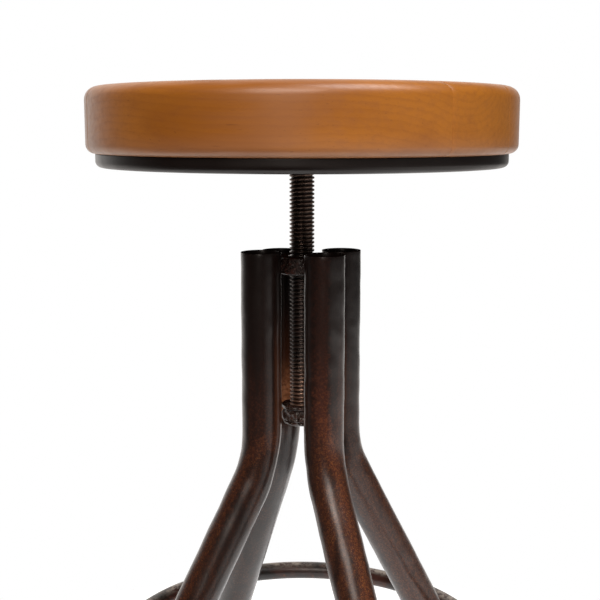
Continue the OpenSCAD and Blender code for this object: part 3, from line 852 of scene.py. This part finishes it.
def threaded_rod(sizes, bottom, top):
    """Strands of one helix, each at its own point of a rounded tooth, run up the screw. The tooth is a
    cosine with the flat share of its height cut from root and crest. It grows from nothing over the first
    turn and dies out over the last, and a ring closes each end."""
    pitch, steps, strands = sizes.pitch, 44, 10
    margin, flat = 0.3 * pitch, 0.22
    root = 0.5 * sizes.diameter - sizes.depth
    last = int((top - bottom - pitch - 2 * margin) / pitch) * steps
    start = bottom + margin
    place = np.arange(strands)[:, None] / strands
    tooth = np.clip((0.5 - 0.5 * np.cos(TURN * place) - flat) / (1 - 2 * flat), 0, 1)
    tooth = tooth * tooth * (3 - 2 * tooth)
    step = np.arange(last + 1)
    fade = np.clip(np.minimum(step, last - step) / steps, 0, 1)
    body = polar(
        root + sizes.depth * tooth * fade, TURN * step / steps, start + pitch * (place + step / steps))
    over = np.arange(last + 1, last + steps + 1) / steps
    extra = polar(root, TURN * over, start + pitch * over)
    rings = [polar(root, circle(steps), level) for level in (bottom, top)]
    points = np.concatenate([body.reshape(-1, 3), extra, *rings])

    def strand(index, at):
        """Number of the point of a strand at a step. The one past the last is the first, a turn on."""
        index, at = np.broadcast_arrays(index, at)
        at = np.where(index == strands, at + steps, at)
        inside = np.where(index == strands, 0, index) * (last + 1) + at
        return np.where(at <= last, inside, strands * (last + 1) + at - last - 1)

    first_low = len(points) - 2 * steps
    first_high = first_low + steps
    every = np.arange(strands + 1)
    index = every[:-1, None]
    at = np.arange(last)
    flanks = np.stack([
        strand(index, at), strand(index, at + 1), strand(index + 1, at + 1), strand(index + 1, at),
    ], axis=-1).reshape(-1, 4).tolist()
    i = np.arange(steps - 1)
    low_core = np.stack([
        first_low + i, first_low + i + 1, strand(0, i + 1), strand(0, i)], axis=-1).tolist()
    low_seam = [first_low + steps - 1, first_low, *strand(every, 0).tolist(), int(strand(0, steps - 1))]
    i = np.arange(1, steps)
    high_core = np.stack([
        strand(0, last + i), strand(0, last + i + 1),
        first_high + (i + 1) % steps, first_high + i], axis=-1).tolist()
    high_seam = [
        int(strand(0, last + 1)), first_high + 1, first_high, *strand(every, last)[::-1].tolist()]
    ends = [list(range(first_low, first_high))[::-1], list(range(first_high, first_high + steps))]
    return points, flanks + low_core + [low_seam] + high_core + [high_seam] + ends


class BuildScrew(Operator):
    """Build the long screw with its right-hand thread."""
    bl_idname = "bar_stool.build_screw"
    bl_label = "Build screw"

    def execute(self, context):
        shape = threaded_rod(context.scene.stool_screw, *levels("seat_screw"))
        finish = oiled_steel(context.scene.stool_colours)
        make_piece("seat_screw_rod", shape, finish, "seat", "seat_screw", 60)
        return {"FINISHED"}


def washer(sizes):
    """A flat ring with round edges and a rim left ragged by spatter."""
    bottom, top = levels("stop_washer")
    outer, inner = 0.5 * width("stop_washer"), 0.5 * sizes.diameter + 0.3 * MM
    corners = [(inner, bottom), (outer, bottom), (outer, top), (inner, top)]
    profile = outline(corners, [0.5 * MM] * 4, 4, 0.6 * MM)
    points, faces = turned(profile, 144)
    share = np.clip((profile[:, :1] - inner) / (outer - inner), 0, 1)
    spatter = 0.35 * MM
    ragged = spatter * (ripple(points, 5 * MM, 92) - 1)
    points[..., :2] *= (1 + share * ragged / outer)[..., None]
    return points, faces


def stop_nut(sizes):
    """Six flats under runs of weld. The radius at a height is the hexagon's, drawn in at both ends by a
    root of the height's sixth power, less ripples of two lengths."""
    bottom, top = levels("stop_nut")
    flat = high("stop_nut")[1]
    corner = 1.13 * flat
    inner = 0.5 * sizes.diameter + 0.05 * MM
    hub = inner + 0.6 * MM
    around = circle(168)
    share = (0.5 - 0.5 * np.cos(np.linspace(0, math.pi, 26)))[:, None]
    face = np.mod(around - TURN / 12, TURN / 6) - TURN / 12
    hexagon = np.minimum(flat / np.cos(face), corner)
    full = np.clip(1 - np.abs(2 * share - 1) ** 6, 0, 1) ** 0.4
    radius = hub + (hexagon - hub) * full
    points = polar(radius, around, bottom + share * (top - bottom))
    lumps = 0.55 * MM * (ripple(points, 6 * MM, 91) - 1) + 0.25 * MM * ripple(points, 2.4 * MM, 93)
    points[..., :2] *= (1 + lumps * full / radius)[..., None]
    ends = [polar(inner, around, level)[None] for level in (bottom, top)]
    points = np.concatenate([ends[0], points, ends[1]])
    return points, closed_faces(*points.shape[:2])


def stop_bead(sizes):
    """A ring of weld under the nut, swollen and drawn in by ripples."""
    middle = 0.5 * sizes.diameter + sizes.bead
    along = circle(96)[:, None]
    around = circle(24)
    reach = sizes.bead * (0.97 + 0.06 * np.sin(17 * along) * np.cos(around))
    drop = np.where(np.sin(around) > 0, 0.3, 0.92)
    level = high("stop_weld")[2] - 0.1 * MM + drop * reach * np.sin(around)
    points = polar(middle + reach * np.cos(around), along, level)
    return roughened(points, 0.18 * MM, 5 * MM, 95), closed_faces(*points.shape[:2])


class BuildStop(Operator):
    """Build the loose washer, the stop nut and the weld at the lower end of the screw."""
    bl_idname = "bar_stool.build_stop"
    bl_label = "Build stop"

    def execute(self, context):
        sizes = context.scene.stool_screw
        weld = weld_lacquer(context.scene.stool_colours)
        make_piece("loose_washer", washer(sizes), weld, "washer", "stop_washer")
        make_piece("stop_nut_block", stop_nut(sizes), weld, "seat", "stop_nut", 60)
        make_piece("stop_bead", stop_bead(sizes), weld, "seat", "stop_weld")
        return {"FINISHED"}


def pan_dish(sizes, hole):
    """A flat-bottomed dish of one wall thickness with a round hole in the middle."""
    bottom, top = levels("seat_pan")
    outer, wall = 0.5 * width("seat_pan"), sizes.pan_wall
    corners = [
        (hole, bottom), (outer, bottom), (outer, top), (outer - wall, top),
        (outer - wall, bottom + wall), (hole, bottom + wall),
    ]
    radii = [0, sizes.pan_corner, 0.7 * MM, 0.7 * MM, sizes.pan_corner - wall, 0]
    return turned(outline(corners, radii, 9, 1.5 * MM), 256)


def hub_flare(screw_radius):
    """A hollow fillet between pan and screw, a quarter circle in profile, with the faint lumps of weld."""
    inner = screw_radius + 0.02 * MM
    weld_bottom, weld_top = levels("hub_weld")
    drop, toe = weld_top - weld_bottom, 0.6 * MM
    level = low("seat_pan")[2]
    turn = np.linspace(0, math.pi / 2, 14)
    hollow = np.stack([
        inner + toe + drop - drop * np.cos(turn), level - drop + drop * np.sin(turn)], axis=1)
    profile = np.concatenate([[(inner, level - drop)], hollow, [(inner, level)]])
    points, faces = turned(profile, 96)
    lumps = 0.16 * MM * ripple(points, 4.5 * MM, 71)
    lumps[:2] = lumps[-2:] = 0
    outward = points / np.linalg.norm(points[..., :2], axis=-1, keepdims=True)
    outward[..., 2] = -0.6
    return points + outward * lumps[..., None], faces


class BuildPan(Operator):
    """Build the pressed steel pan and the flared weld that joins it to the screw."""
    bl_idname = "bar_stool.build_pan"
    bl_label = "Build pan"

    def execute(self, context):
        finish = black_paint(context.scene.stool_colours)
        screw_radius = 0.5 * context.scene.stool_screw.diameter
        dish = pan_dish(context.scene.stool_seat, screw_radius + 0.3 * MM)
        make_piece("pan_dish", dish, finish, "seat", "seat_pan")
        make_piece("hub_flare", hub_flare(screw_radius), finish, "seat", "hub_weld")
        return {"FINISHED"}


def seat_outline(sizes):
    """Half outline of the round in three parts: from the floor of the let-in over the shoulder and round
    the lower edge, up the side, and round the upper edge and in again."""
    floor, top = levels("middle_board")
    shoulder = high("seat_pan")[2]
    radius = 0.5 * width("middle_board")
    low_edge, top_edge = sizes.low_edge, sizes.top_edge
    play, ledge = 0.3 * MM, 2 * MM
    let_in = 0.5 * width("seat_pan") - sizes.pan_wall - play
    quarter = np.linspace(0, math.pi / 2, 10)
    lower = np.stack([
        radius - low_edge + low_edge * np.sin(quarter),
        shoulder + low_edge - low_edge * np.cos(quarter)], axis=1)
    upper = np.stack([
        radius - top_edge + top_edge * np.cos(quarter),
        top - top_edge + top_edge * np.sin(quarter)], axis=1)
    side = np.stack([
        np.full(5, radius), np.linspace(shoulder + low_edge, top - top_edge, 7)[1:-1]], axis=1)
    floor_part = [(0, floor), (let_in - ledge, floor), (let_in, floor), (let_in, shoulder)]
    top_part = [(radius - top_edge - ledge, top), (0, top)]
    return np.concatenate([floor_part, lower]), side, np.concatenate([upper, top_part])


def board(sizes, node):
    """Slices of the round across the seat. At a distance y from the middle a point of the outline at
    radius r lies at x = sqrt(r * r - y * y), and points nearer than y slide to where r is y."""
    low_part, side, high_part = seat_outline(sizes)
    edge = np.concatenate([low_part, side, high_part])
    bottom, top = edge[0, 1], edge[-1, 1]
    radius = edge[:, 0].max()
    near, far = low(node)[1], high(node)[1]
    at_tip = (near + radius < MM, radius - far < MM)
    near = -radius if at_tip[0] else near
    far = radius if at_tip[1] else far
    first, last = math.asin(near / radius), math.asin(far / radius)
    slice_angle, fewest = math.radians(1.4), 10
    count = max(fewest, int((last - first) / slice_angle))
    rows = radius * np.sin(np.linspace(first, last, count))
    inset = np.zeros(count)
    seam = sizes.seam
    if not at_tip[0]:
        rows = np.concatenate([[near, near + seam], rows[1:]])
        inset = np.concatenate([[seam, 0], inset[1:]])
    if not at_tip[1]:
        rows = np.concatenate([rows[:-1], [far - seam, far]])
        inset = np.concatenate([inset[:-1], [0, seam]])
    rows, inset = rows[:, None], inset[:, None]
    distance = np.abs(rows)
    reach = edge[:, 0] - inset
    level = np.clip(edge[:, 1] + 0 * distance, bottom, top - inset)
    below = level < 0.5 * (bottom + top)
    low_cross = np.interp(distance, low_part[:, 0], low_part[:, 1])
    high_cross = np.interp(distance, high_part[::-1, 0], high_part[::-1, 1])
    slid = np.where(below, np.maximum(level, low_cross), np.minimum(level, high_cross))
    level = np.where(reach < distance, slid, level)
    across = np.sqrt(np.clip(reach ** 2 - distance ** 2, 0, None))
    right = np.stack([across, rows + 0 * across, level], axis=-1)
    grid = np.concatenate([right, right[:, ::-1] * (-1, 1, 1)], axis=1)
    faces = capped_faces(*grid.shape[:2])
    caps = [cap for cap, tip in zip(faces[-2:], at_tip) if not tip]
    return grid, faces[:-2] + caps


class BuildSeat(Operator):
    """Build the five glued boards of the round seat."""
    bl_idname = "bar_stool.build_seat"
    bl_label = "Build seat"

    def execute(self, context):
        for index, name in enumerate(BOARDS):
            node = f"{name}_board"
            finish = stained_board(index, context.scene.stool_colours)
            shape = board(context.scene.stool_seat, node)
            make_piece(f"{name}_plank", shape, finish, "seat", node, 35)
        return {"FINISHED"}


def wood_screws(sizes, node, count):
    """Countersunk screws in a circle that starts half a step round. At radius r the face of a head of
    radius h stands out by crown * (1 - r^2 / h^2), and a cross is cut into it."""
    head, shank = 0.5 * sizes.head, 0.5 * sizes.shank
    face, tip = levels(node)
    around = circle(64)
    disc = np.linspace(0, head, 15)[:, None]
    arm = np.minimum(np.abs(disc * np.cos(around)), np.abs(disc * np.sin(around)))
    cross_reach, side_slope, end_slope = 0.65 * head, 0.25 * MM, 0.5 * MM
    cut = np.clip((0.5 * sizes.cross - arm) / side_slope, 0, 1)
    cut = cut * np.clip((cross_reach - disc) / end_slope, 0, 1)
    level = face - sizes.crown * (1 - (disc / head) ** 2) + sizes.cross_depth * cut
    radius = np.concatenate([disc, [[shank], [shank], [0]]])
    stem = np.array([[face + head - shank], [tip - sizes.tip], [tip]]) + 0 * around
    screw = polar(radius, around, np.concatenate([level, stem]))
    step = 360 / count
    place = (high(node)[0] - head) / math.cos(math.radians(0.5 * step))
    points = screw.reshape(-1, 3) + (place, 0, 0)
    faces = capped_faces(*screw.shape[:2])
    return joined([(spun(points, (index + 0.5) * step), faces) for index in range(count)])


class BuildFasteners(Operator):
    """Build the wood screws, and give the clamping plate and its weld their finishes."""
    bl_idname = "bar_stool.build_fasteners"
    bl_label = "Build fasteners"

    def execute(self, context):
        sizes = context.scene.stool_fasteners
        colours = context.scene.stool_colours
        zinc = plated_zinc(colours)
        kinds = (
            ("rim_screws", "pan_screws", sizes.pan_count),
            ("plate_screws", "flange_screws", sizes.plate_count))
        for name, node, count in kinds:
            make_piece(name, wood_screws(sizes, node, count), zinc, "seat", node, 30)
        for node, finish in (("seat_flange", oiled_steel(colours)), ("flange_weld", weld_lacquer(colours))):
            for material_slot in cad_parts[node].material_slots:
                material_slot.material = finish
        return {"FINISHED"}


# Studio

def lay_floor(context, settings):
    """A round of floor under the stool, from rings that grow outwards."""
    rings = np.array([0.0005, 0.25, 0.5, 0.75, 1.0])[:, None] * settings.floor_radius
    points = polar(rings, circle(64), 0 * rings)
    faces = capped_faces(*points.shape[:2])[:-2]
    mesh = bpy.data.meshes.new("studio_floor")
    mesh.from_pydata(points.reshape(-1, 3).tolist(), [], [face[::-1] for face in faces])
    mesh.update()
    finish = Finish("floor_paint")
    mesh.materials.append(finish.feed(
        tuple(settings.floor), Roughness=finish.ramp(finish.noise(3, 2, 0.5), 0.2, 0.8, 0.75, 0.85),
        IOR=1.3, Emission_Color=(1, 1, 1), Emission_Strength=settings.floor_glow))
    floor = bpy.data.objects.new("studio_floor", mesh)
    context.scene.collection.objects.link(floor)


def set_surroundings(context):
    """White to the camera. For light and reflections the brightness goes by the angle round the stool,
    from the front at 0 to the right at 90 degrees, and drops from a little below the horizon upwards."""
    world = bpy.data.worlds.new("studio_light")
    context.scene.world = world
    world.use_nodes = True
    world.node_tree.nodes.clear()
    sky = Nodes(world.node_tree)
    way = sky.node("ShaderNodeTexCoord").outputs["Generated"]
    way = sky.node("ShaderNodeSeparateXYZ", {"Vector": way}).outputs
    angle = sky.math("ARCTAN2", way["X"], sky.times(way["Y"], -1))
    turn = sky.span(angle, -math.pi, math.pi)
    walls = []
    for stops in (LOWER_WALL, UPPER_WALL):
        wall = sky.node("ShaderNodeValToRGB", {"Fac": turn})
        wall.color_ramp.interpolation = "EASE"
        elements = wall.color_ramp.elements
        for index, (degrees, strength) in enumerate(stops):
            place = degrees / 360 + 0.5
            stop = elements[index] if index < 2 else elements.new(place)
            stop.position = place
            stop.color = (*(strength * part for part in WALL_TINT), 1)
        walls.append(wall.outputs["Color"])
    lit = sky.node("ShaderNodeBackground", {"Color": sky.mix(sky.span(way["Z"], *WALL_CHANGE), *walls)})
    seen = sky.node("ShaderNodeBackground", {"Color": (1, 1, 1)})
    from_camera = sky.node("ShaderNodeLightPath").outputs["Is Camera Ray"]
    both = sky.node("ShaderNodeMixShader", {0: from_camera, 1: lit.outputs[0], 2: seen.outputs[0]})
    sky.node("ShaderNodeOutputWorld", {"Surface": both.outputs[0]})


def hang_lamps(context):
    """Soft boxes, each aimed at a point of the screw's axis. Sizes are in metres and powers in watts."""
    warm, white = (1.0, 0.88, 0.8), (1.0, 1.0, 1.0)
    boxes = (
        ("key_box", (0.25, -1.95, 1.797), 0.42, 1.15, 0.95, 31, warm),
        ("low_key_box", (0.363, -2.29, 1.04), 0.42, 0.8, 0.8, 2.8, warm),
        ("side_box", (1.14, -0.66, 2.66), 0.55, 1.4, 1.4, 46, white),
    )
    for name, place, aim, wide, tall, power, colour in boxes:
        light = bpy.data.lights.new(name, "AREA")
        light.color = colour
        light.shape = "RECTANGLE"
        light.size, light.size_y, light.energy = wide, tall, power
        lamp = bpy.data.objects.new(name, light)
        turn = (Vector((0, 0, aim)) - Vector(place)).to_track_quat("-Z", "Y").to_matrix().to_4x4()
        lamp.matrix_world = Matrix.Translation(place) @ turn
        context.scene.collection.objects.link(lamp)


def place_camera(context, settings):
    """A little below the seat's top and tilted a little down, at the photograph's angle."""
    data = bpy.data.cameras.new("photo_camera")
    data.lens = settings.lens
    data.sensor_width = 36.0
    camera = bpy.data.objects.new("photo_camera", data)
    place = (
        settings.distance * math.sin(settings.azimuth),
        -settings.distance * math.cos(settings.azimuth),
        settings.height)
    turn = Matrix.Rotation(settings.azimuth + settings.aim, 4, "Z")
    turn = turn @ Matrix.Rotation(math.pi / 2 - settings.pitch, 4, "X")
    camera.matrix_world = Matrix.Translation(place) @ turn
    context.scene.collection.objects.link(camera)
    context.scene.camera = camera


class BuildStage(Operator):
    """Lay the floor, light the studio and set up the camera."""
    bl_idname = "bar_stool.build_stage"
    bl_label = "Build stage"

    def execute(self, context):
        settings = context.scene.stool_studio
        lay_floor(context, settings)
        set_surroundings(context)
        hang_lamps(context)
        place_camera(context, settings)
        context.scene.view_settings.view_transform = "Standard"
        return {"FINISHED"}


class StoolPanel(Panel):
    bl_label = "Bar Stool"
    bl_idname = "VIEW3D_PT_bar_stool"
    bl_space_type = "VIEW_3D"
    bl_region_type = "UI"
    bl_category = "Bar Stool"

    def draw(self, context):
        column = self.layout.column()
        for operator in OPERATORS:
            column.operator(operator.bl_idname)


GROUPS = {
    "stool_legs": LegSizes,
    "stool_ring": RingSizes,
    "stool_screw": ScrewSizes,
    "stool_seat": SeatSizes,
    "stool_fasteners": FastenerSizes,
    "stool_colours": StoolColours,
    "stool_studio": StudioSettings,
}
OPERATORS = (
    BuildLegs, BuildFeet, BuildFootRing, BuildCollar, BuildScrew, BuildStop, BuildPan, BuildSeat,
    BuildFasteners, BuildStage,
)


def register():
    for group in GROUPS.values():
        bpy.utils.register_class(group)
    for name, group in GROUPS.items():
        setattr(bpy.types.Scene, name, PointerProperty(type=group))
    for operator in OPERATORS:
        bpy.utils.register_class(operator)
    bpy.utils.register_class(StoolPanel)


def unregister():
    bpy.utils.unregister_class(StoolPanel)
    for operator in reversed(OPERATORS):
        bpy.utils.unregister_class(operator)
    for name, group in GROUPS.items():
        delattr(bpy.types.Scene, name)
        bpy.utils.unregister_class(group)


def main():
    register()
    for operator in OPERATORS:
        group, name = operator.bl_idname.split(".")
        getattr(getattr(bpy.ops, group), name)()


if __name__ == "__main__":
    main()
